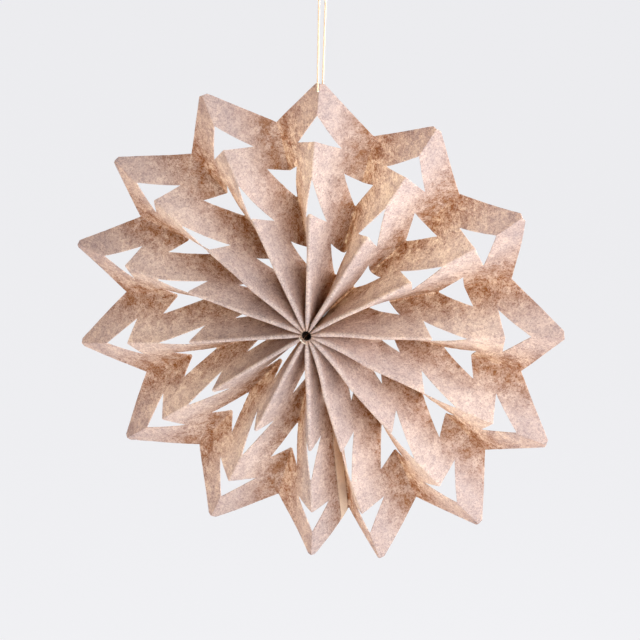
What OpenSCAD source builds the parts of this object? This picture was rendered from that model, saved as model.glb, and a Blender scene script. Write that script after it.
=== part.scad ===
// Folded and cut paper star: one pleated sheet, drawn together at the hub and hung by a thread.
// The pleats run along radii. Mountain folds face the front (-Y), valley folds face the back (+Y).
// The origin is inside the top of the hanging loop, where a hook bears.

/* [Sheet] */
// Thickness of the felted paper
sheet_t = 0.6; // [0.3:0.05:0.9]
// Width of one pleat, from a mountain fold to a valley fold
pleat_w = 33.5; // [31:0.5:45]
// Slack between the layers packed round the hub, as a multiple of the sheet's thickness
hub_slack = 1.2; // [1.1:0.05:1.8]
// Distance from the axis at which the pleats, packed evenly at the hub, lie as they were spread
spread_r = 40; // [20:1:60]

/* [Rim] */
// Distance from the axis, along the mountain folds, at which the rim's cuts meet
tip_r = 158.5; // [148:0.5:170]
// How much of each tip is snipped off
tip_blunt = 1.2; // [0.4:0.1:2]
// Distance of the rim from the axis, along the valley folds
valley_r = 126.5; // [118:0.5:132]

/* [Outer notch on the mountain folds] */
// Far end of the notch
crest1_top = 137; // [132:0.5:144]
// Near end of the notch
crest1_low = 122; // [118:0.5:128]
// How far the notch reaches into the pleat
crest1_reach = 16.5; // [10:0.5:20]
// Distance of the notch's point from the axis
crest1_point = 117.5; // [112:0.5:120]

/* [Inner notch on the mountain folds] */
// Far end of the notch
crest2_top = 99; // [92:0.5:104]
// Near end of the notch
crest2_low = 78; // [74:0.5:84]
// How far the notch reaches into the pleat
crest2_reach = 13.5; // [8:0.5:16]
// Distance of the notch's point from the axis
crest2_point = 70.5; // [66:0.5:74]

/* [Outer notch on the valley folds] */
// Far end of the notch
trough1_top = 94.5; // [90:0.5:98]
// Near end of the notch
trough1_low = 77; // [72:0.5:82]
// How far the notch reaches into the pleat
trough1_reach = 13.5; // [8:0.5:15]
// Distance of the notch's point from the axis
trough1_point = 101.5; // [97:0.5:106]

/* [Inner notch on the valley folds] */
// Far end of the notch
trough2_top = 44; // [40:0.5:50]
// Near end of the notch
trough2_low = 28; // [22:0.5:34]
// How far the notch reaches into the pleat
trough2_reach = 14; // [8:0.5:15]
// Distance of the notch's point from the axis
trough2_point = 54.5; // [48:0.5:60]

/* [Hanging thread] */
// Diameter of the hanging thread
thread_d = 1.3; // [0.6:0.1:1.6]
// Height of the loop's inner top above the top tip
thread_rise = 66.5; // [60:0.5:120]
// Distance of the thread's hole from the top tip
hole_in = 7; // [5:0.5:9]
// Play of the thread in its hole
hole_play = 0.4; // [0.4:0.1:1.4]

/* [Glued seam] */
// Width of the lap that is glued on beside the seam's valley fold
lap_w = 5.5; // [3:0.5:8]
// Distance from the axis at which the lap starts
lap_from = 52; // [50:1:70]

/* [Hub thread] */
// Diameter of the thread that draws the pleats together
tie_d = 0.8; // [0.5:0.1:1]
// Radius of the ring that this thread makes
tie_r = 6.5; // [6:0.25:9]
// Depth of the ring behind the mountain folds
tie_in = 3.5; // [2:0.25:8]
// Play of the hub thread in its needle holes
tie_play = 0.2; // [0.1:0.05:0.4]

/* [Hidden] */

// Opening of each pleat in degrees, clockwise from the top. The narrow one is the glued seam.
pleat_open = [27.5, 27.5, 27, 27, 27, 26.5, 15.5, 26.5, 26.5, 25, 24.5, 23.5, 28, 27.5];
// The seam's valley fold, counted from 0, where the lap closes the outer notch
seam = 6;
points = len(pleat_open);
facets = 2 * points;
even_open = 360 / points;
hub_r = facets * sheet_t * hub_slack / (2 * PI);

function sum_to(list, count) = count == 0 ? 0 : list[count - 1] + sum_to(list, count - 1);
open_total = sum_to(pleat_open, points);

// Height of the hub's axis below the origin
hub_drop = thread_rise + tip_r;

// How far a fold at distance s has moved from the even packing of the hub to its spread place
function spread(s) = min(1, max(0, (s - hub_r) / (spread_r - hub_r)));

// Direction of a mountain fold at distance s, in degrees from +X towards +Z, the first one upright
function crest_turn(i, s) =
    let (even = i * even_open, spread_out = sum_to(pleat_open, i) * 360 / open_total)
    90 - even - (spread_out - even) * spread(s);

// A valley fold lies half way between its two mountain folds
function trough_turn(j, s) = (crest_turn(j, s) + crest_turn(j + 1, s)) / 2;

// Half the depth of the pleats: the sheet keeps its width between folds, so the pleats get shallower
// outwards as far as the rim, and from there the folds run on straight to the tips.
open_rate = 2 * sin(even_open / 4);
rim_half = sqrt(max(pow(pleat_w, 2) - pow(open_rate * valley_r, 2), pow(4 * sheet_t, 2))) / 2;
rim_slope = pow(open_rate, 2) * valley_r / (4 * rim_half);
function half_depth(s) =
    s <= valley_r
        ? max(sqrt(max(pow(pleat_w, 2) - pow(open_rate * s, 2), 0)) / 2, rim_half)
        : max(rim_half - rim_slope * (s - valley_r), sheet_t);

function polar(s, turn, y) = [s * cos(turn), y, s * sin(turn) - hub_drop];
function crest(i, s) = polar(s, crest_turn(i, s), -half_depth(s));
function trough(j, s) = polar(s, trough_turn(j, s), half_depth(s));

// Facet f runs from its mountain fold to its valley fold, at share u of the pleat's width
function crest_of(f) = floor((f + 1) / 2);
function trough_of(f) = floor(f / 2);
function on_facet(f, u, s) =
    crest(crest_of(f), s) * (1 - u) + trough(trough_of(f), s) * u + [0, rim_lift(u, s), 0];

// Towards the rim a facet bends so that its cut edge runs straight in space, from tip to valley fold.
// Distance a is measured along the mountain fold and b along the valley fold.
bend_from = 0.78;
function rim_lift(u, s) =
    let (
        a = s * (1 - u) / tip_r,
        b = s * u / valley_r,
        ring = a + b,
        q = b / ring,
        at = tip_r + (valley_r - tip_r) * q,
        ruled = half_depth(at) * (2 * valley_r * q / at - 1),
        straight = half_depth(valley_r) * q - half_depth(tip_r) * (1 - q)
    )
    (straight - ruled) * pow(min(1, max(0, (ring - bend_from) / (1 - bend_from))), 1.5);

function unit(v) = v / norm(v);
step = 0.5;
share_step = 0.02;
function facet_normal(f, u, s) =
    let (
        across = on_facet(f, min(u + share_step, 1), s) - on_facet(f, max(u - share_step, 0), s),
        along = on_facet(f, u, s + step) - on_facet(f, u, s - step),
        n = unit(cross(across, along))
    )
    n[1] < 0 ? n : -n;

// On the inside of a fold the two faces meet in one line, set back by the slant of the facets
function set_back(f, u, s) = sheet_t / 2 / abs(facet_normal(f, u, s)[1]);
function crest_inside(f, s) = crest(crest_of(f), s) + [0, set_back(f, 0, s), 0];
function trough_inside(f, s) = trough(trough_of(f), s) - [0, set_back(f, 1, s), 0];

// Cut lines across a pleat as [share of the width, distance from the axis]. A notch has two of them,
// which part at the notch's point and run on together to the far fold.
function crest_cut(end, reach, point, far) =
    let (u = reach / pleat_w)
    [[0, end], [u, point], [(1 + u) / 2, (point + far) / 2], [1, far]];
function trough_cut(end, reach, point, far) =
    let (u = 1 - reach / pleat_w)
    [[0, far], [u / 2, (point + far) / 2], [u, point], [1, end]];
hub_cut = [[0, hub_r], [0.47, hub_r], [0.53, hub_r], [1, hub_r]];
// The rim is cut straight from the snipped tip to the valley fold
function rim_at(q) = let (s = tip_r + (valley_r - tip_r) * q) [valley_r * q / s, s];
rim_cut = [[0, tip_r - tip_blunt], rim_at(tip_blunt / (tip_r - valley_r)), rim_at(0.5), rim_at(1)];
trough2_far = trough2_point;
crest2_far = (trough2_top + trough1_low) / 2;
trough1_far = (crest2_top + crest1_low) / 2;
crest1_far = (trough1_top + valley_r) / 2;

// The notches leave five zigzag bands: near line, far line, rows, and the columns joined to the last band
bands = [
    [hub_cut, trough_cut(trough2_low, trough2_reach, trough2_point, trough2_far),
        [0, 0.04, 0.1, 0.2, 0.4, 0.7, 1], []],
    [trough_cut(trough2_top, trough2_reach, trough2_point, trough2_far),
        crest_cut(crest2_low, crest2_reach, crest2_point, crest2_far), [0, 0.5, 1], [0, 1, 2]],
    [crest_cut(crest2_top, crest2_reach, crest2_point, crest2_far),
        trough_cut(trough1_low, trough1_reach, trough1_point, trough1_far), [0, 0.5, 1], [1, 2, 3]],
    [trough_cut(trough1_top, trough1_reach, trough1_point, trough1_far),
        crest_cut(crest1_low, crest1_reach, crest1_point, crest1_far), [0, 0.5, 1], [0, 1, 2]],
    [crest_cut(crest1_top, crest1_reach, crest1_point, crest1_far), rim_cut, [0, 0.5, 1], [1, 2, 3]],
];
columns = 4;
last = columns - 1;
row_counts = [for (b = bands) len(b[2])];
row_total = sum_to(row_counts, len(bands));
function place(b, r, c) =
    let (v = bands[b][2][r], near = bands[b][0][c], far = bands[b][1][c])
    v == 0 ? near : v == 1 ? far : near * (1 - v) + far * v;
outer_trough = 3;
function joined(f, b, c) =
    (b == outer_trough && trough_of(f) == seam) || len([for (j = bands[b][3]) if (j == c) j]) > 0;

front = 0;
back = 1;
function vertex(f, side, b, r, c) =
    let (us = place(b, r, c), u = us[0], s = us[1])
    side == front && c == last ? trough_inside(f, s)
    : side == back && c == 0 ? crest_inside(f, s)
    : on_facet(f, u, s) + facet_normal(f, u, s) * (side == front ? 1 : -1) * sheet_t / 2;

// A vertex inside a fold, or on a line that two bands share, is listed once
function owner(f, side, c) =
    f % 2 == 0 ? f : side == front && c == last ? f - 1 : side == back && c == 0 ? (f + 1) % facets : f;
function index(f, side, b, r, c) =
    r == 0 && joined(f, b, c)
        ? index(f, side, b - 1, row_counts[b - 1] - 1, c)
        : ((owner(f, side, c) * 2 + side) * row_total + sum_to(row_counts, b) + r) * columns + c;

function turned(face, flip) = flip ? [for (k = [len(face) - 1:-1:0]) face[k]] : face;
function halves(q) = [[q[0], q[1], q[2]], [q[0], q[2], q[3]]];

star_points = [
    for (f = [0:facets - 1]) for (side = [front, back])
        for (b = [0:len(bands) - 1]) for (r = [0:row_counts[b] - 1])
            for (c = [0:last]) vertex(f, side, b, r, c)
];

// The two faces of every facet
skin_faces = [
    for (f = [0:facets - 1]) for (side = [front, back])
        for (b = [0:len(bands) - 1]) for (r = [0:row_counts[b] - 2]) for (c = [0:last - 1])
            for (h = halves([index(f, side, b, r, c), index(f, side, b, r + 1, c),
                index(f, side, b, r + 1, c + 1), index(f, side, b, r, c + 1)]))
                turned(h, (f + side) % 2 == 1)
];

// The blunt outer edge of every fold, between a facet and the one before it
fold_faces = [
    for (f = [0:facets - 1])
        let (other = (f + facets - 1) % facets, side = f % 2 == 0 ? front : back, c = f % 2 == 0 ? 0 : last)
        for (b = [0:len(bands) - 1]) for (r = [0:row_counts[b] - 2])
            for (h = halves([index(f, side, b, r, c), index(other, side, b, r, c),
                index(other, side, b, r + 1, c), index(f, side, b, r + 1, c)]))
                turned(h, f % 2 == 1)
];

// The cut edges: each band has walls along its near and far line, but for the columns that it shares
function cut_walls(f, b, r, open) = [
    for (c = [0:last - 1])
        if (open(c) || open(c + 1))
            for (h = halves([index(f, front, b, r, c), index(f, front, b, r, c + 1),
                index(f, back, b, r, c + 1), index(f, back, b, r, c)]))
                turned(h, (f + (r == 0 ? 0 : 1)) % 2 == 1)
];
function cut_ends(f, b, r, open) =
    let (
        other = (f + facets - 1) % facets,
        c = f % 2 == 0 ? 0 : last,
        outer = f % 2 == 0 ? front : back,
        inner = 1 - outer
    )
    open(c)
        ? [turned([index(f, outer, b, r, c), index(f, inner, b, r, c), index(other, outer, b, r, c)],
            (f + (r == 0 ? 0 : 1)) % 2 == 1)]
        : [];
edge_faces = [
    for (f = [0:facets - 1]) for (b = [0:len(bands) - 1])
        let (
            far = row_counts[b] - 1,
            near_open = function (c) !joined(f, b, c),
            far_open = function (c) b == len(bands) - 1 || !joined(f, b + 1, c)
        )
        each concat(
            cut_walls(f, b, 0, near_open), cut_ends(f, b, 0, near_open),
            cut_walls(f, b, far, far_open), cut_ends(f, b, far, far_open)
        )
];

// Ring of the hub thread, about the star's axis
module hub_ring(d) {
    translate([0, tie_in - half_depth(tie_r), -hub_drop])
        rotate([90, 0, 0])
            rotate_extrude($fn = 96) translate([tie_r, 0]) circle(d = d, $fn = 24);
}

// Route of the hanging thread: out of the front of its hole, up, over the hook and down to the hole's back.
// The foot points are measured from the hole, and the arch points from the origin.
hole_at = [0, -half_depth(tip_r - hole_in), -thread_rise - hole_in];
foot_front = [[0, -0.1, 0], [0, -0.9, 0.2], [0.2, -1.8, 0.8], [0.4, -2.4, 1.8], [0.6, -2.7, 3.2]];
foot_back = [[1.7, 3.1, 3.6], [1.3, 2.8, 2], [0.7, 2.1, 0.8], [0.1, 1.1, 0.1]];
arch = [[-1.2, -2.7, -2.6], [-1, -2.25, -1], [-0.6, -1.35, 0.2], [0, 0, 0.65],
    [0.6, 1.35, 0.2], [1, 2.25, -1], [1.2, 2.7, -2.6]];
straight_rings = 12;
function from_hole(list) = [for (p = list) hole_at + p];
function between(a, b, count) = [for (k = [1:count]) a + (b - a) * k / (count + 1)];
front_top = hole_at + foot_front[len(foot_front) - 1];
back_top = hole_at + foot_back[0];
thread_route = concat(
    from_hole(foot_front), between(front_top, arch[0], straight_rings), arch,
    between(arch[len(arch) - 1], back_top, straight_rings), from_hole(foot_back)
);
// The loop lies in a plane about this direction
loop_normal = unit([0.9, -0.4, 0]);

// A round cord along a route, with flat ends
module cord_along(route, d, sides) {
    rings = len(route);
    rim = [
        for (k = [0:rings - 1])
            let (
                way = unit(route[min(k + 1, rings - 1)] - route[max(k - 1, 0)]),
                side = unit(loop_normal - way * (loop_normal * way)),
                up = cross(way, side)
            )
            for (a = [0:sides - 1])
                route[k] + d / 2 * (side * cos(360 * a / sides) + up * sin(360 * a / sides))
    ];
    walls = [
        for (k = [0:rings - 2]) for (a = [0:sides - 1])
            let (n = (a + 1) % sides)
            for (h = halves([k * sides + a, (k + 1) * sides + a, (k + 1) * sides + n, k * sides + n])) h
    ];
    ends = [[for (a = [0:sides - 1]) a], [for (a = [sides - 1:-1:0]) (rings - 1) * sides + a]];
    polyhedron(rim, concat(walls, ends));
}

// The glued lap: a second layer on the front of the facet beside the seam, along its valley fold
lap_facet = 2 * seam + 1;
lap_rows = 6;
lap_sink = sheet_t / 8;
function rim_s(u) = 1 / ((1 - u) / tip_r + u / valley_r);
function lap_point(u, row, height) =
    let (s = lap_from + (rim_s(u) - lap_from) * row / lap_rows)
    on_facet(lap_facet, u, s) + facet_normal(lap_facet, u, s) * height;
module seam_lap() {
    low = sheet_t / 2 - lap_sink;
    high = sheet_t * 3 / 2 - lap_sink;
    inner = 1 - sheet_t * 2 / pleat_w;
    outer = inner - lap_w / pleat_w;
    ring = [
        for (row = [0:lap_rows])
            each [lap_point(inner, row, low), lap_point(outer, row, low),
                lap_point(outer, row, high), lap_point(inner, row, high)]
    ];
    walls = [
        for (row = [0:lap_rows - 1]) for (k = [0:3])
            let (n = (k + 1) % 4, at = row * 4)
            each halves([at + k, at + n, at + 4 + n, at + 4 + k])
    ];
    last_row = lap_rows * 4;
    ends = [each halves([3, 2, 1, 0]), each halves([last_row, last_row + 1, last_row + 2, last_row + 3])];
    polyhedron(ring, concat(walls, ends));
}

module paper_star() {
    color([0.87, 0.78, 0.74])
        difference() {
            union() {
                polyhedron(star_points, concat(skin_faces, fold_faces, edge_faces));
                seam_lap();
            }
            translate(hole_at)
                rotate([90, 0, 0])
                    cylinder(d = thread_d + hole_play, h = pleat_w, center = true, $fn = 32);
            hub_ring(tie_d + tie_play);
        }
}

module hanging_thread() {
    color([0.93, 0.84, 0.68]) cord_along(thread_route, thread_d, 8);
}

module hub_thread() {
    color([0.93, 0.87, 0.76]) hub_ring(tie_d);
}

paper_star();
hanging_thread();
hub_thread();
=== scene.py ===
import math
import bpy
from mathutils import Matrix, Vector, noise


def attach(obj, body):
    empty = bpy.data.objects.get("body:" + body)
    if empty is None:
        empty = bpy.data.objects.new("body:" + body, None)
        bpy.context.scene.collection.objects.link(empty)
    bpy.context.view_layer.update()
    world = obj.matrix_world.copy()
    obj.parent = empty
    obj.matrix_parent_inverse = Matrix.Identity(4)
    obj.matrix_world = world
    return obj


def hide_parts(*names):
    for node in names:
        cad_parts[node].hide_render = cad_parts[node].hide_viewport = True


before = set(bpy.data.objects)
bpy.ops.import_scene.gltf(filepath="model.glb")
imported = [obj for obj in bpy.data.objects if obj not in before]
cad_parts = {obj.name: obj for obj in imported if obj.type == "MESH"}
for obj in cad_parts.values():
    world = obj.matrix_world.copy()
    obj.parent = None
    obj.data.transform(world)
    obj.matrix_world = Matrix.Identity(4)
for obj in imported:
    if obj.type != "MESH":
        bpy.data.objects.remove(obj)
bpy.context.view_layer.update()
mm = 0.001


# small helpers used by every piece

def clearSelection():
    if bpy.context.mode != "OBJECT":
        bpy.ops.object.mode_set(mode="OBJECT")
    bpy.ops.object.select_all(action="DESELECT")


def makeActive(piece):
    clearSelection()
    piece.select_set(True)
    bpy.context.view_layer.objects.active = piece


def nameNew(name):
    piece = bpy.context.object
    piece.name = name
    piece.data.name = name
    return piece


def applyModifiers(piece):
    makeActive(piece)
    for modifier in list(piece.modifiers):
        bpy.ops.object.modifier_apply(modifier=modifier.name)


def joinPieces(pieces, name):
    clearSelection()
    for piece in pieces:
        piece.select_set(True)
    bpy.context.view_layer.objects.active = pieces[0]
    bpy.ops.object.join()
    return nameNew(name)


def turnOutward(piece):
    makeActive(piece)
    bpy.ops.object.mode_set(mode="EDIT")
    bpy.ops.mesh.select_all(action="SELECT")
    bpy.ops.mesh.normals_make_consistent(inside=False)
    bpy.ops.object.mode_set(mode="OBJECT")


def srgb(r, g, b):
    def toLinear(value):
        value = value / 255
        return value / 12.92 if value <= 0.04045 else ((value + 0.055) / 1.055) ** 2.4
    return (toLinear(r), toLinear(g), toLinear(b), 1)


# faces that meet at less than this are shaded as one surface
smoothAngle = math.radians(38)

# the hub's axis lies below the hook by the thread's rise and the top petal, in millimetres
threadRise = 66.5
tipRadius = 158.5
starHub = Vector((0, 0, -(threadRise + tipRadius) * mm))

# camera: the photo's side, height and framing
viewSet = {
    "azimuth": 18.9, "elevation": 25.0, "roll": 1.2,      # degrees
    "distance": 1.9, "pixelsPerMm": 1.665,                # at the hub
    "hubAcross": -4.2, "hubDown": 4.9,                    # hub from the picture's middle, in pixels
    "frame": 640, "sensor": 36, "nearest": 0.01,
}


def makeCamera(v):
    azimuth, elevation, roll = (math.radians(v[k]) for k in ("azimuth", "elevation", "roll"))
    back = Vector((math.sin(azimuth) * math.cos(elevation), -math.cos(azimuth) * math.cos(elevation),
                   math.sin(elevation)))
    level = Vector((math.cos(azimuth), math.sin(azimuth), 0))
    right = Matrix.Rotation(roll, 3, back) @ level
    up = back.cross(right)
    perPixel = mm / v["pixelsPerMm"]
    aim = starHub - right * v["hubAcross"] * perPixel + up * v["hubDown"] * perPixel
    bpy.ops.object.camera_add(location=aim + back * v["distance"])
    camera = bpy.context.object
    camera.name = "camera"
    camera.rotation_euler = Matrix((right, up, back)).transposed().to_euler()
    camera.data.sensor_width = v["sensor"]
    camera.data.lens = v["sensor"] * v["distance"] / (v["frame"] * perPixel)
    camera.data.clip_start = v["nearest"]
    bpy.context.scene.camera = camera


clearSelection()
makeCamera(viewSet)
print("stage: camera set")


# paper star: one pleat is cut flat, copied round the hub, folded and given its thickness
star = {
    "sheet": 0.6 * mm, "pleat": 33.5 * mm, "hub": 2.6 * mm, "spread": 40 * mm,
    "tip": tipRadius * mm, "rim": 126.5 * mm, "bendFrom": 0.78, "bendEase": 1.5,
    # notches: far end, near end, reach into the pleat, distance of the point
    "crestNotches": [(137, 122, 16.5, 117.5), (99, 78, 13.5, 70.5)],
    "troughNotches": [(94.5, 77, 13.5, 101.5), (44, 28, 14, 54.5)],
    # opening of each pleat in degrees, clockwise from the top; the narrow one is the glued seam
    "seam": 6,
    "opening": [27.5, 27.5, 27, 27, 27, 26.5, 15.5, 26.5, 26.5, 25, 24.5, 23.5, 28, 27.5],
    # how far each tip leans along the rim, in degrees, anticlockwise
    "lean": [-0.4, 0, 1.2, 0, 0, 0, 0, -1.4, 0, 0, 0, 0, 0, 0], "leanFrom": 90 * mm,
    "rows": 72, "columns": 22, "rowEase": 1.15, "columnEase": 0.93,
    "foldRound": 1.1 * mm, "roundLimit": 0.46,
    # how far past a notch its cuts run, and the tolerances of cutting and merging
    "cutReach": 12 * mm, "cutGap": 0.001 * mm, "onCut": 1e-9, "sliver": 0.02 * mm, "weld": 0.01 * mm,
    # blunt tips: distance from the tip and slant of each snip
    "tipSnips": [(2.7 * mm, 1.0), (1.6 * mm, 1.09), (0.75 * mm, 1.18)],
    # waves of the sheet and rags of its cut edges: they start at stillHub and are full at wavyFrom
    "waveSeed": 4, "wave": 0.5 * mm, "waveSize": 30 * mm, "ragged": 0.12 * mm, "raggedSize": 2.2 * mm,
    "stillHub": 15 * mm, "wavyFrom": 50 * mm,
    # inside thinAt the sheet thins towards this share of its thickness
    "thinAt": 12 * mm, "thinShare": 0.6,
}
pointCount = len(star["opening"])
evenOpening = 360 / pointCount
openingSum = sum(star["opening"])
openRate = 2 * math.sin(math.radians(evenOpening / 4))
rimHalf = math.sqrt(star["pleat"] ** 2 - (openRate * star["rim"]) ** 2) / 2
rimSlope = openRate ** 2 * star["rim"] / (4 * rimHalf)


def halfDepth(s):
    if s <= star["rim"]:
        return math.sqrt(star["pleat"] ** 2 - (openRate * s) ** 2) / 2
    return rimHalf - rimSlope * (s - star["rim"])


def crestTurn(i, s):
    even = i * evenOpening
    spreadOut = sum(star["opening"][:i]) * 360 / openingSum
    share = min(1, max(0, (s - star["hub"]) / (star["spread"] - star["hub"])))
    lean = max(0, (s - star["leanFrom"]) / (star["tip"] - star["leanFrom"])) ** 2
    return 90 - even - (spreadOut - even) * share + star["lean"][i % pointCount] * lean


def direction(turn):
    return Vector((math.cos(math.radians(turn)), 0, math.sin(math.radians(turn))))


def rimLift(a, b):
    # towards the rim the pleat bends so that its cut edge runs straight from tip to valley fold
    ring = a / star["tip"] + b / star["rim"]
    q = b / star["rim"] / ring
    s = star["tip"] + (star["rim"] - star["tip"]) * q
    ruled = halfDepth(s) * (2 * star["rim"] * q / s - 1)
    straight = -halfDepth(star["tip"]) * (1 - q) + halfDepth(star["rim"]) * q
    share = min(1, max(0, (ring - star["bendFrom"]) / (1 - star["bendFrom"])))
    return (straight - ruled) * share ** star["bendEase"]


def foldPoint(crest, trough, a, b):
    # a and b are lengths along the mountain and the valley fold, so a straight cut stays straight
    s = a + b
    u = b / s
    crestWay = crestTurn(crest, s)
    still = min(s, star["leanFrom"])
    troughWay = (crestTurn(trough, still) + crestTurn(trough + 1, still)) / 2
    place = direction(crestWay) * a + direction(troughWay) * b
    place.y = halfDepth(s) * (2 * u - 1) + rimLift(a, b)
    aside = direction(troughWay) - direction(crestWay)
    chord = aside.length * s
    roundness = min(star["foldRound"], star["roundLimit"] * chord)
    slant = chord / math.hypot(chord, 2 * halfDepth(s))
    roundness *= 1 - slant

    def bead(q):
        return math.sqrt(max(0, 1 - (1 - min(1, q / roundness)) ** 2))
    push = bead(u * star["pleat"]) * (1 - u) - bead((1 - u) * star["pleat"]) * u
    return starHub + place + aside.normalized() * roundness * push


def notchCorners(onCrest, far, near, reach, point):
    share = reach * mm / star["pleat"]
    u = share if onCrest else 1 - share
    corner = Vector((point * mm * (1 - u), point * mm * u, 0))
    ends = [Vector((e * mm, 0, 0)) if onCrest else Vector((0, e * mm, 0)) for e in (far, near)]
    return ends[0], ends[1], corner


def insideTriangle(p, corners, margin=0.0):
    signs = []
    middle = sum(corners, Vector()) / 3
    for k in range(3):
        start, end = corners[k], corners[(k + 1) % 3]
        across = Vector((end.y - start.y, start.x - end.x, 0)).normalized()
        if across.dot(middle - start) < 0:
            across = -across
        signs.append(across.dot(p - start) > -margin)
    return all(signs)


def selectFaces(piece, wanted):
    bpy.ops.mesh.select_all(action="DESELECT")
    bpy.ops.object.mode_set(mode="OBJECT")
    for face in piece.data.polygons:
        face.select = wanted(face.center)
    bpy.ops.object.mode_set(mode="EDIT")


def cutAlong(start, end):
    across = Vector((end.y - start.y, start.x - end.x, 0)).normalized()
    bpy.ops.mesh.bisect(plane_co=start, plane_no=across, threshold=star["cutGap"])


def makeFlatPleat(notches):
    clearSelection()
    bpy.ops.mesh.primitive_grid_add(x_subdivisions=star["rows"], y_subdivisions=star["columns"], size=1)
    pleat = nameNew("flatPleat")
    for vertex in pleat.data.vertices:
        along, across = vertex.co.x + 0.5, vertex.co.y + 0.5
        # rows lie closer at the hub, columns closer at the folds
        s = star["hub"] + (star["tip"] - star["hub"]) * along ** star["rowEase"]
        u = across - star["columnEase"] * math.sin(2 * math.pi * across) / (2 * math.pi)
        vertex.co = (s * (1 - u), s * u, 0)
    bpy.ops.object.mode_set(mode="EDIT")
    bpy.ops.mesh.select_mode(type="FACE")
    tip, rim = Vector((star["tip"], 0, 0)), Vector((0, star["rim"], 0))
    rimCuts = [(tip, rim)]
    for back, slant in star["tipSnips"]:
        snip = Vector((star["tip"] - back, 0, 0))
        rimCuts.append((snip, snip + Vector((-slant, 1, 0))))
    for start, end in rimCuts:
        bpy.ops.mesh.select_all(action="SELECT")
        cutAlong(start, end)
        outward = Vector((end.y - start.y, start.x - end.x, 0))
        selectFaces(pleat, lambda c: outward.dot(c - start) > star["onCut"])
        bpy.ops.mesh.delete(type="FACE")
    for far, near, corner in notches:
        for end in (far, near):
            selectFaces(pleat, lambda c: insideTriangle(c, (far, near, corner), star["cutReach"]))
            cutAlong(end, corner)
        selectFaces(pleat, lambda c: insideTriangle(c, (far, near, corner)))
        bpy.ops.mesh.delete(type="FACE")
    bpy.ops.mesh.select_all(action="SELECT")
    bpy.ops.mesh.dissolve_degenerate(threshold=star["sliver"])
    bpy.ops.object.mode_set(mode="OBJECT")
    return pleat


def foldPleat(pleat, facet):
    copy = pleat.copy()
    copy.data = pleat.data.copy()
    bpy.context.collection.objects.link(copy)
    crest, trough = (facet + 1) // 2, facet // 2
    # the finish reads how far across the pleat each point lies, from mountain (0) to valley fold (1)
    across = copy.data.attributes.new("acrossPleat", "FLOAT", "POINT")
    for vertex in copy.data.vertices:
        a, b = vertex.co.x, vertex.co.y
        across.data[vertex.index].value = b / (a + b)
        vertex.co = foldPoint(crest, trough, a, b)
    if facet % 2:
        copy.data.flip_normals()
    return copy


def makePaperStar():
    crestNotches = [notchCorners(True, *n) for n in star["crestNotches"]]
    troughNotches = [notchCorners(False, *n) for n in star["troughNotches"]]
    pleat = makeFlatPleat(crestNotches + troughNotches)
    # the seam's pleats have no outer notch on their valley fold
    seamPleat = makeFlatPleat(crestNotches + troughNotches[1:])
    print("stage: pleats cut,", len(pleat.data.polygons), "and", len(seamPleat.data.polygons), "faces")
    copies = [foldPleat(seamPleat if facet // 2 == star["seam"] else pleat, facet)
              for facet in range(2 * pointCount)]
    bpy.data.objects.remove(pleat)
    bpy.data.objects.remove(seamPleat)
    sheet = joinPieces(copies, "paperStar")
    bpy.ops.object.mode_set(mode="EDIT")
    bpy.ops.mesh.select_all(action="SELECT")
    bpy.ops.mesh.remove_doubles(threshold=star["weld"])
    turnOutward(sheet)
    return sheet


def cutEdgeVertices(piece):
    # on a cut edge the sheet has a face on one side only
    uses = {}
    for face in piece.data.polygons:
        for key in face.edge_keys:
            uses[key] = uses.get(key, 0) + 1
    return {vertex for key, count in uses.items() if count == 1 for vertex in key}


def roughenSheet(sheet):
    cutEdge = cutEdgeVertices(sheet)
    for vertex in sheet.data.vertices:
        out = math.hypot(vertex.co.x, vertex.co.z - starHub.z)
        fade = min(1, max(0, (out - star["stillHub"]) / (star["wavyFrom"] - star["stillHub"])))
        place = vertex.co.copy()
        vertex.co += noise.noise_vector(place / star["waveSize"]) * star["wave"] * fade
        if vertex.index in cutEdge:
            vertex.co += noise.noise_vector(place / star["raggedSize"]) * star["ragged"] * fade


def thickenSheet(sheet):
    group = sheet.vertex_groups.new(name="thickness")
    for vertex in sheet.data.vertices:
        out = math.hypot(vertex.co.x, vertex.co.z - starHub.z)
        group.add([vertex.index], min(1, out / star["thinAt"]), "REPLACE")
    solid = sheet.modifiers.new("thickness", "SOLIDIFY")
    solid.thickness = star["sheet"]
    solid.offset = 0
    solid.vertex_group = "thickness"
    solid.thickness_vertex_group = star["thinShare"]
    solid.use_quality_normals = True
    applyModifiers(sheet)
    bpy.ops.object.shade_smooth_by_angle(angle=smoothAngle)


paper = makePaperStar()
# without a seed the vector noise differs from run to run
noise.seed_set(star["waveSeed"])
roughenSheet(paper)
thickenSheet(paper)
print("stage: sheet folded,", len(paper.data.polygons), "faces")


# seam lap: the second layer glued on beside the seam's valley fold
lap = {
    "width": 7.5 * mm, "start": 52 * mm, "rows": 40, "columns": 6, "off": 0.62 * mm, "sheet": 0.5 * mm,
    # steps across and along the pleat that give the direction away from it
    "stepAcross": 0.02, "stepAlong": mm,
}


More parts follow.
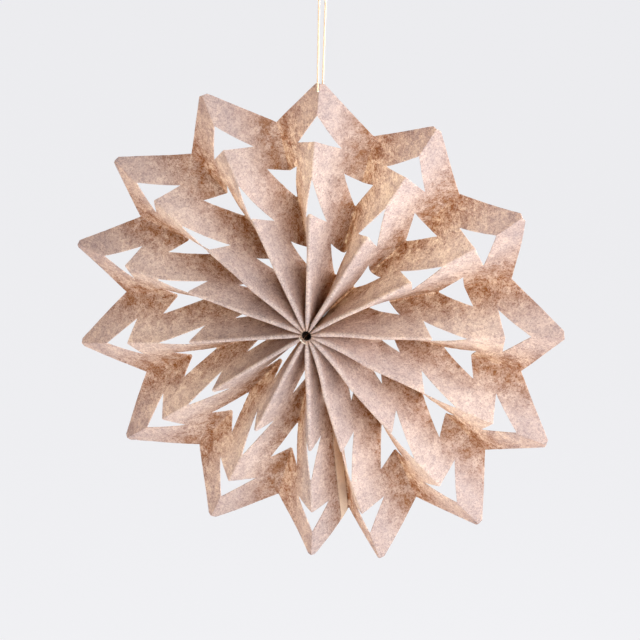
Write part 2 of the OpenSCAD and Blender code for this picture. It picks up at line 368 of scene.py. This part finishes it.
def makeSeamLap(p):
    clearSelection()
    bpy.ops.mesh.primitive_grid_add(x_subdivisions=p["rows"], y_subdivisions=p["columns"], size=1)
    strip = nameNew("seamLap")
    trough = star["seam"]
    # the strip starts two thicknesses of the sheet away from the fold
    inner = 1 - 2 * star["sheet"] / star["pleat"]
    for vertex in strip.data.vertices:
        u = inner - (0.5 - vertex.co.y) * p["width"] / star["pleat"]
        rim = 1 / ((1 - u) / star["tip"] + u / star["rim"])
        s = p["start"] + (vertex.co.x + 0.5) * (rim - p["start"])
        aside, ahead = u + p["stepAcross"], s + p["stepAlong"]
        place = foldPoint(trough + 1, trough, s * (1 - u), s * u)
        across = foldPoint(trough + 1, trough, s * (1 - aside), s * aside) - place
        along = foldPoint(trough + 1, trough, ahead * (1 - u), ahead * u) - place
        away = across.cross(along).normalized()
        if away.y > 0:
            away = -away
        place += noise.noise_vector(place / star["waveSize"]) * star["wave"]
        vertex.co = place + away * p["off"]
    solid = strip.modifiers.new("thickness", "SOLIDIFY")
    solid.thickness = p["sheet"]
    solid.offset = 0
    applyModifiers(strip)
    turnOutward(strip)
    bpy.ops.object.shade_smooth_by_angle(angle=smoothAngle)
    return strip


seamLap = makeSeamLap(lap)
print("stage: seam lap laid,", len(seamLap.data.polygons), "faces")


# hanging thread: three plies laid round each other, led along the loop's route
hangingThread = {
    "diameter": 1.3 * mm, "holeIn": 7 * mm, "hole": 1.7 * mm, "holeSides": 24, "punchDepth": 12 * mm,
    "plies": 3, "plyShare": 0.464, "pitch": 3.2 * mm, "plySides": 8, "turnSteps": 12,
    # from the hole in the top petal
    "footFront": [(0, -0.1, 0), (0, -0.9, 0.2), (0.2, -1.8, 0.8), (0.4, -2.4, 1.8), (0.6, -2.7, 3.2)],
    "footBack": [(1.7, 3.1, 3.6), (1.3, 2.8, 2), (0.7, 2.1, 0.8), (0.1, 1.1, 0.1)],
    # from the place where the hook bears
    "arch": [(-1.2, -2.7, -2.6), (-1, -2.25, -1), (-0.6, -1.35, 0.2), (0, 0, 0.65),
             (0.6, 1.35, 0.2), (1, 2.25, -1), (1.2, 2.7, -2.6)],
    "straightPoints": 12,
}
holeOut = star["tip"] - hangingThread["holeIn"]
holeAt = starHub + Vector((0, -halfDepth(holeOut), holeOut))


def threadRoute(t):
    front = [holeAt + Vector(p) * mm for p in t["footFront"]]
    back = [holeAt + Vector(p) * mm for p in t["footBack"]]
    arch = [Vector(p) * mm for p in t["arch"]]

    def between(start, end):
        steps = t["straightPoints"]
        return [start.lerp(end, k / (steps + 1)) for k in range(1, steps + 1)]
    return front + between(front[-1], arch[0]) + arch + between(arch[-1], back[0]) + back


def routeLength(route):
    return sum((b - a).length for a, b in zip(route, route[1:]))


def makeGuide(route, closed=False):
    guide = bpy.data.objects.new("guide", bpy.data.curves.new("guide", "CURVE"))
    bpy.context.collection.objects.link(guide)
    guide.data.dimensions = "3D"
    spline = guide.data.splines.new("POLY")
    spline.points.add(len(route) - 1)
    for point, place in zip(spline.points, route):
        point.co = (*place, 1)
    spline.use_cyclic_u = closed
    return guide


def makePliedThread(name, route, t, closed=False):
    # one ply is a circle beside the axis, screwed along it, and the plies share the turn between them
    radius = t["diameter"] / 2
    plyRadius = radius * t["plyShare"]
    length = routeLength(route + route[:1] if closed else route)
    turns = max(1, round(length / t["pitch"]))
    clearSelection()
    made = []
    for ply in range(t["plies"]):
        around = 2 * math.pi * ply / t["plies"]
        bpy.ops.mesh.primitive_circle_add(vertices=t["plySides"], radius=plyRadius,
                                          rotation=(math.pi / 2, 0, 0), location=(radius - plyRadius, 0, 0))
        strand = nameNew("ply")
        bpy.ops.object.transform_apply(location=True, rotation=True)
        screw = strand.modifiers.new("lay", "SCREW")
        screw.axis = "Z"
        screw.angle = 2 * math.pi
        screw.screw_offset = length / turns
        screw.iterations = turns
        screw.steps = screw.render_steps = t["turnSteps"]
        screw.use_normal_calculate = True
        screw.use_merge_vertices = False
        applyModifiers(strand)
        strand.rotation_euler = (0, 0, around)
        bpy.ops.object.transform_apply(rotation=True)
        made.append(strand)
    thread = joinPieces(made, name)
    if not closed:
        bpy.ops.object.mode_set(mode="EDIT")
        bpy.ops.mesh.select_all(action="SELECT")
        bpy.ops.mesh.region_to_loop()
        bpy.ops.mesh.fill_holes(sides=0)
        turnOutward(thread)
    guide = makeGuide(route, closed)
    lead = thread.modifiers.new("route", "CURVE")
    lead.object = guide
    lead.deform_axis = "POS_Z"
    applyModifiers(thread)
    bpy.data.objects.remove(guide)
    bpy.ops.object.shade_smooth()
    return thread


def punchHole(sheet, t):
    clearSelection()
    bpy.ops.mesh.primitive_cylinder_add(vertices=t["holeSides"], radius=t["hole"] / 2,
                                        depth=t["punchDepth"], location=holeAt,
                                        rotation=(math.pi / 2, 0, 0))
    punch = nameNew("punch")
    cut = sheet.modifiers.new("hole", "BOOLEAN")
    cut.operation = "DIFFERENCE"
    cut.solver = "MANIFOLD"
    cut.object = punch
    applyModifiers(sheet)
    bpy.data.objects.remove(punch)
    bpy.ops.object.shade_smooth_by_angle(angle=smoothAngle)


punchHole(paper, hangingThread)
print("stage: thread hole punched,", len(paper.data.polygons), "faces")
route = threadRoute(hangingThread)
loopThread = makePliedThread("hangingThread", route, hangingThread)
print("stage: hanging thread laid,", len(loopThread.data.polygons), "faces")


# hub thread: the ring that draws the pleats together, through a needle hole in each pleat
hubThread = {
    "diameter": 0.8 * mm, "ring": 6.5 * mm, "behindFolds": 3.5 * mm,
    "plies": 2, "plyShare": 0.464, "pitch": 2.4 * mm, "plySides": 8, "turnSteps": 8, "ringPoints": 72,
    # the end that was led over two mountain folds, from the hub's middle
    "stitch": [(-5.0, -13.6, -1.7), (-4.5, -16.2, -2.1), (-3.6, -17.3, -2.9), (-2.3, -17.7, -3.9),
               (-0.9, -17.3, -4.9), (0.3, -16.2, -5.7), (0.7, -13.6, -6.2)],
}


def hubRoute(t):
    depth = t["behindFolds"] - halfDepth(t["ring"])
    steps = t["ringPoints"]
    return [starHub + direction(360 * k / steps) * t["ring"] + Vector((0, depth, 0)) for k in range(steps)]


ring = makePliedThread("ring", hubRoute(hubThread), hubThread, closed=True)
stitch = makePliedThread("stitch", [starHub + Vector(p) * mm for p in hubThread["stitch"]], hubThread)
tieThread = joinPieces([ring, stitch], "hubThread")
print("stage: hub thread laid,", len(tieThread.data.polygons), "faces")


# finishes
paperFinish = {
    "pale": srgb(233, 224, 229), "brown": srgb(206, 176, 160), "valleyShadeBrown": srgb(188, 130, 79),
    "fleck": srgb(142, 104, 82), "through": srgb(255, 240, 214), "clump": srgb(128, 74, 40),
    "passes": 0.6, "roughness": 0.85, "specular": 0.2, "bump": 0.4, "bumpDepth": 0.0002,
    "mottleScale": 150.0, "wispScale": 650.0, "speckScale": 1300.0,
    "mottles": 0.15, "wisps": 0.15, "specks": 0.34,                 # on the face of the sheet
    "mottlesHold": 0.22, "wispsHold": 0.56, "specksHold": 0.34,     # on the light that comes through it
    # towards the valley folds the sheet is painted browner, in blotches: this is painted shade of the
    # valley creases, on the face and on the light through it
    "valleyFrom": 0.25, "valleyTo": 0.8, "valleyShades": 0.78, "valleyShadesHold": 0.25,
    "blotches": 0.6, "blotchLeast": 0.3,
    # so it is, a little, towards the tips
    "tipFrom": 105 * mm, "tipTo": 160 * mm, "tips": 0.3, "tipsHold": 0.3,
    # behind the pale ridges the imported pleats at the hub are painted browner, and so is a collar round
    # the hole: painted shade of the deep, narrow pleats round the hub
    "hubShadeBrown": srgb(216, 160, 122), "hubFrom": 48 * mm, "hubTo": 12 * mm, "hubShades": 0.4,
    "ridgeFrom": 0.035, "ridgeTo": 0.13, "collarFrom": 8 * mm, "collarTo": 3.5 * mm,
    # inside the hub's hole it is painted dark: painted shade of the hole, on the face and on the light
    # through it
    "holeShadeBrown": srgb(44, 32, 26), "holeFrom": 3.3 * mm, "holeTo": 2.8 * mm,
}
# the lap's finish is a paler, less mottled, less translucent copy of the paper's; its paler colour and
# stronger reflection are painted light that lifts the lap out of the shade of the seam's valley
lapPaintedLightFinish = dict(paperFinish, pale=srgb(242, 220, 198), brown=srgb(226, 198, 172), passes=0.25,
                 mottles=0.1, wisps=0.1, specks=0.1, wispsHold=0.3)


def newMaterial(name):
    material = bpy.data.materials.new(name)
    material.use_nodes = True
    nodes, links = material.node_tree.nodes, material.node_tree.links
    nodes.clear()
    output = nodes.new("ShaderNodeOutputMaterial")
    return material, nodes, links, output


def addNoise(nodes, links, vector, scale, detail, roughness, distortion):
    cloud = nodes.new("ShaderNodeTexNoise")
    for name, value in (("Detail", detail), ("Roughness", roughness), ("Distortion", distortion)):
        cloud.inputs[name].default_value = value
    links.new(vector, cloud.inputs["Vector"])
    links.new(scale, cloud.inputs["Scale"])
    return cloud.outputs["Fac"]


def addRange(nodes, links, value, low, high):
    stretch = nodes.new("ShaderNodeMapRange")
    stretch.inputs["From Min"].default_value = low
    stretch.inputs["From Max"].default_value = high
    links.new(value, stretch.inputs["Value"])
    return stretch.outputs["Result"]


def addMath(nodes, links, operation, first, second):
    result = nodes.new("ShaderNodeMath")
    result.operation = operation
    for socket, source in zip(result.inputs, (first, second)):
        if isinstance(source, (int, float)):
            socket.default_value = source
        else:
            links.new(source, socket)
    return result.outputs["Value"]


def mixColour(nodes, links, factor, first, second):
    mix = nodes.new("ShaderNodeMix")
    mix.data_type = "RGBA"
    for source, socket in ((factor, mix.inputs[0]), (first, mix.inputs[6]), (second, mix.inputs[7])):
        if isinstance(source, (tuple, float)):
            socket.default_value = source
        else:
            links.new(source, socket)
    return mix.outputs[2]


fibreLayers = {
    # each layer: detail, roughness and distortion of its noise, and the values that read as 0 and 1
    "mottle": (4, 0.55, 0.5, 0.38, 0.64),
    "wisp": (5, 0.65, 1.2, 0.41, 0.62),
    "speck": (2, 0.6, 0.6, 0.58, 0.70),
    # strands are specks drawn out in two directions
    "strand": (2, 0.5, 1.0, 0.64, 0.74),
    "strandTurns": [(0.3, 0.5, 0.9), (1.9, 0.2, -0.6)], "strandStretch": (0.22, 1, 1),
}


def fibreGroup(layers, f):
    # felt on the piece's own coordinates: soft mottles, wisps of fibre and small dark specks
    group = bpy.data.node_groups.new("feltFibres", "ShaderNodeTree")
    face = group.interface
    for layer in ("mottle", "wisp", "speck"):
        scale = face.new_socket(layer.title() + " Scale", in_out="INPUT", socket_type="NodeSocketFloat")
        scale.default_value = f[layer + "Scale"]
    for name in ("Mottle", "Wisp", "Speck", "Height"):
        face.new_socket(name, in_out="OUTPUT", socket_type="NodeSocketFloat")
    nodes, links = group.nodes, group.links
    entry, leave = nodes.new("NodeGroupInput"), nodes.new("NodeGroupOutput")
    place = nodes.new("ShaderNodeTexCoord").outputs["Object"]

    def addLayer(layer, vector, scaleName):
        detail, roughness, distortion, low, high = layers[layer]
        cloud = addNoise(nodes, links, vector, entry.outputs[scaleName], detail, roughness, distortion)
        return cloud, addRange(nodes, links, cloud, low, high)

    mottle = addLayer("mottle", place, "Mottle Scale")[1]
    wispCloud, wisp = addLayer("wisp", place, "Wisp Scale")
    speckCloud, speck = addLayer("speck", place, "Speck Scale")
    for turn in layers["strandTurns"]:
        stretch = nodes.new("ShaderNodeMapping")
        stretch.inputs["Rotation"].default_value = turn
        stretch.inputs["Scale"].default_value = layers["strandStretch"]
        links.new(place, stretch.inputs["Vector"])
        strand = addLayer("strand", stretch.outputs["Vector"], "Speck Scale")[1]
        speck = addMath(nodes, links, "MAXIMUM", speck, strand)
    height = addMath(nodes, links, "ADD", speckCloud, wispCloud)
    for name, value in (("Mottle", mottle), ("Wisp", wisp), ("Speck", speck), ("Height", height)):
        links.new(value, leave.inputs[name])
    return group


def axisDistance(nodes, links):
    # distance from the hub's axis, which runs from front to back
    place = nodes.new("ShaderNodeTexCoord")
    flat = nodes.new("ShaderNodeMapping")
    flat.inputs["Location"].default_value = -starHub
    flat.inputs["Scale"].default_value = (1, 0, 1)
    links.new(place.outputs["Object"], flat.inputs["Vector"])
    length = nodes.new("ShaderNodeVectorMath")
    length.operation = "LENGTH"
    links.new(flat.outputs["Vector"], length.inputs[0])
    return length.outputs["Value"]


def makePaperFinish(name, f, fibres):
    material, nodes, links, output = newMaterial(name)
    felt = nodes.new("ShaderNodeGroup")
    felt.node_tree = fibres
    layers = ("mottle", "wisp", "speck")
    for layer in layers:
        felt.inputs[layer.title() + " Scale"].default_value = f[layer + "Scale"]

    def plus(first, second):
        return addMath(nodes, links, "ADD", first, second)

    def times(first, second):
        return addMath(nodes, links, "MULTIPLY", first, second)

    def between(value, low, high):
        return addRange(nodes, links, value, f[low], f[high])

    def tint(factor, first, second):
        return mixColour(nodes, links, factor, first, second)

    def shares(ending):
        return [times(felt.outputs[layer.title()], f[layer + ending]) for layer in layers]

    # masks: the valley folds, the tips, the hub and its hole; the masks of the valley folds, the hub and
    # the hole place painted shade
    fold = nodes.new("ShaderNodeAttribute")
    fold.attribute_name = "acrossPleat"
    across = fold.outputs["Fac"]
    out = axisDistance(nodes, links)
    blotch = times(plus(felt.outputs["Mottle"], felt.outputs["Wisp"]), f["blotches"])
    valley = times(between(across, "valleyFrom", "valleyTo"), plus(blotch, f["blotchLeast"]))
    tip = between(out, "tipFrom", "tipTo")
    hub = times(between(out, "hubFrom", "hubTo"), between(across, "ridgeFrom", "ridgeTo"))
    hub = addMath(nodes, links, "MAXIMUM", hub, between(out, "collarFrom", "collarTo"))
    hole = between(out, "holeFrom", "holeTo")

    # the face of the sheet
    mottle, wisp, speck = shares("s")
    tone = tint(plus(mottle, wisp), f["pale"], f["brown"])
    # painted shade towards the valley folds
    tone = tint(times(valley, f["valleyShades"]), tone, f["valleyShadeBrown"])
    tone = tint(times(tip, f["tips"]), tone, f["brown"])
    # painted shade in the deep pleats round the hub and in the collar round its hole
    tone = tint(times(hub, f["hubShades"]), tone, f["hubShadeBrown"])
    tone = tint(speck, tone, f["fleck"])
    # painted shade inside the hub's hole
    tone = tint(hole, tone, f["holeShadeBrown"])
    bump = nodes.new("ShaderNodeBump")
    bump.inputs["Strength"].default_value = f["bump"]
    bump.inputs["Distance"].default_value = f["bumpDepth"]
    links.new(felt.outputs["Height"], bump.inputs["Height"])
    surface = nodes.new("ShaderNodeBsdfPrincipled")
    surface.inputs["Roughness"].default_value = f["roughness"]
    surface.inputs["Specular IOR Level"].default_value = f["specular"]
    links.new(tone, surface.inputs["Base Color"])
    links.new(bump.outputs["Normal"], surface.inputs["Normal"])

    # light that comes through the sheet is warm, and the clumps of fibre hold it back
    mottle, wisp, speck = shares("sHold")
    held = plus(plus(mottle, wisp), speck)
    # the painted shade of the valley folds also holds back the light through the sheet
    held = plus(held, times(valley, f["valleyShadesHold"]))
    held = plus(held, times(tip, f["tipsHold"]))
    # the painted shade inside the hub's hole also darkens the light through the sheet
    glow = tint(hole, tint(held, f["through"], f["clump"]), f["holeShadeBrown"])
    through = nodes.new("ShaderNodeBsdfTranslucent")
    links.new(glow, through.inputs["Color"])
    both = nodes.new("ShaderNodeMixShader")
    both.inputs[0].default_value = f["passes"]
    links.new(surface.outputs["BSDF"], both.inputs[1])
    links.new(through.outputs["BSDF"], both.inputs[2])
    links.new(both.outputs["Shader"], output.inputs["Surface"])
    return material


threadFinish = {
    # light and dark colour of each thread
    "hanging": (srgb(250, 236, 212), srgb(206, 152, 98)),
    "hub": (srgb(255, 250, 238), srgb(232, 212, 184)),
    "fuzzScale": 1500.0, "fuzzDetail": 3, "fuzzFrom": 0.35, "fuzzTo": 0.75, "roughness": 0.7, "sheen": 0.3,
}


def makeThreadFinish(name, f, thread):
    material, nodes, links, output = newMaterial(name)
    place = nodes.new("ShaderNodeTexCoord")
    fuzz = nodes.new("ShaderNodeTexNoise")
    fuzz.inputs["Scale"].default_value = f["fuzzScale"]
    fuzz.inputs["Detail"].default_value = f["fuzzDetail"]
    links.new(place.outputs["Object"], fuzz.inputs["Vector"])
    dark = addRange(nodes, links, fuzz.outputs["Fac"], f["fuzzFrom"], f["fuzzTo"])
    colour = mixColour(nodes, links, dark, *f[thread])
    surface = nodes.new("ShaderNodeBsdfPrincipled")
    surface.inputs["Roughness"].default_value = f["roughness"]
    surface.inputs["Sheen Weight"].default_value = f["sheen"]
    links.new(colour, surface.inputs["Base Color"])
    links.new(surface.outputs["BSDF"], output.inputs["Surface"])
    return material


def dress(piece, material):
    piece.data.materials.clear()
    piece.data.materials.append(material)


feltFibres = fibreGroup(fibreLayers, paperFinish)
dress(paper, makePaperFinish("feltedPaper", paperFinish, feltFibres))
dress(seamLap, makePaperFinish("lapPaperPaintedLight", lapPaintedLightFinish, feltFibres))
dress(loopThread, makeThreadFinish("loopThreadFinish", threadFinish, "hanging"))
dress(tieThread, makeThreadFinish("tieThreadFinish", threadFinish, "hub"))
print("stage: finishes made")


# pale floor, soft light
room = {
    "floor": -1.2, "floorSize": 24.0, "floorColour": srgb(244, 244, 247), "shadow": 0.08,
    "sky": srgb(242, 243, 247), "skyLight": 0.03, "skySeen": 0.95, "lampFar": 1.2, "lampSize": 0.9,
    # each lamp: direction from the hub, power, tint
    "lamps": {
        "key": ((0.683, -0.683, 0.259), 18.4, (1.0, 0.99, 0.98)),
        "side": ((0.966, 0.0, 0.259), 21.8, (0.92, 0.97, 1.0)),
        "back": ((0.683, 0.683, 0.259), 29.0, (1.0, 0.99, 0.97)),
        "fill": ((-0.641, -0.641, -0.423), 8.6, (1.0, 0.99, 0.98)),
    },
}


def seenDirectly(nodes, links):
    # 1 where the camera, a reflection or a look through the sheet meets the surface
    ray = nodes.new("ShaderNodeLightPath")
    seen = ray.outputs["Is Camera Ray"]
    for name in ("Is Glossy Ray", "Is Transmission Ray"):
        seen = addMath(nodes, links, "MAXIMUM", seen, ray.outputs[name])
    return seen


def makeFloor(r):
    clearSelection()
    bpy.ops.mesh.primitive_plane_add(size=r["floorSize"], location=(0, 0, r["floor"]))
    floor = nameNew("floor")
    material, nodes, links, output = newMaterial("paleFloor")
    share = addMath(nodes, links, "MULTIPLY", seenDirectly(nodes, links), 1 - r["shadow"])
    matt = nodes.new("ShaderNodeBsdfDiffuse")
    matt.inputs["Color"].default_value = r["floorColour"]
    glow = nodes.new("ShaderNodeEmission")
    glow.inputs["Color"].default_value = r["floorColour"]
    mix = nodes.new("ShaderNodeMixShader")
    links.new(share, mix.inputs[0])
    links.new(matt.outputs["BSDF"], mix.inputs[1])
    links.new(glow.outputs["Emission"], mix.inputs[2])
    links.new(mix.outputs["Shader"], output.inputs["Surface"])
    dress(floor, material)


def makeLight(r):
    world = bpy.data.worlds.new("paleSky")
    world.use_nodes = True
    bpy.context.scene.world = world
    nodes, links = world.node_tree.nodes, world.node_tree.links
    light = nodes["Background"]
    backdrop = nodes.new("ShaderNodeBackground")
    for sky, strength in ((light, r["skyLight"]), (backdrop, r["skySeen"])):
        sky.inputs["Color"].default_value = r["sky"]
        sky.inputs["Strength"].default_value = strength
    mix = nodes.new("ShaderNodeMixShader")
    links.new(seenDirectly(nodes, links), mix.inputs[0])
    links.new(light.outputs["Background"], mix.inputs[1])
    links.new(backdrop.outputs["Background"], mix.inputs[2])
    links.new(mix.outputs["Shader"], nodes["World Output"].inputs["Surface"])
    for name, (way, power, tint) in r["lamps"].items():
        way = Vector(way).normalized()
        bpy.ops.object.light_add(type="AREA", location=starHub + way * r["lampFar"])
        lamp = bpy.context.object
        lamp.name = name + "Light"
        lamp.data.size = r["lampSize"]
        lamp.data.energy = power
        lamp.data.color = tint
        lamp.visible_camera = False
        lamp.rotation_euler = way.to_track_quat("Z", "Y").to_euler()


makeFloor(room)
makeLight(room)
bpy.context.scene.view_settings.view_transform = "Standard"
print("stage: floor and light set")

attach(paper, "root")
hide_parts("paper_star")
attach(seamLap, "root")
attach(loopThread, "root")
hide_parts("hanging_thread")
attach(tieThread, "root")
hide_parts("hub_thread")
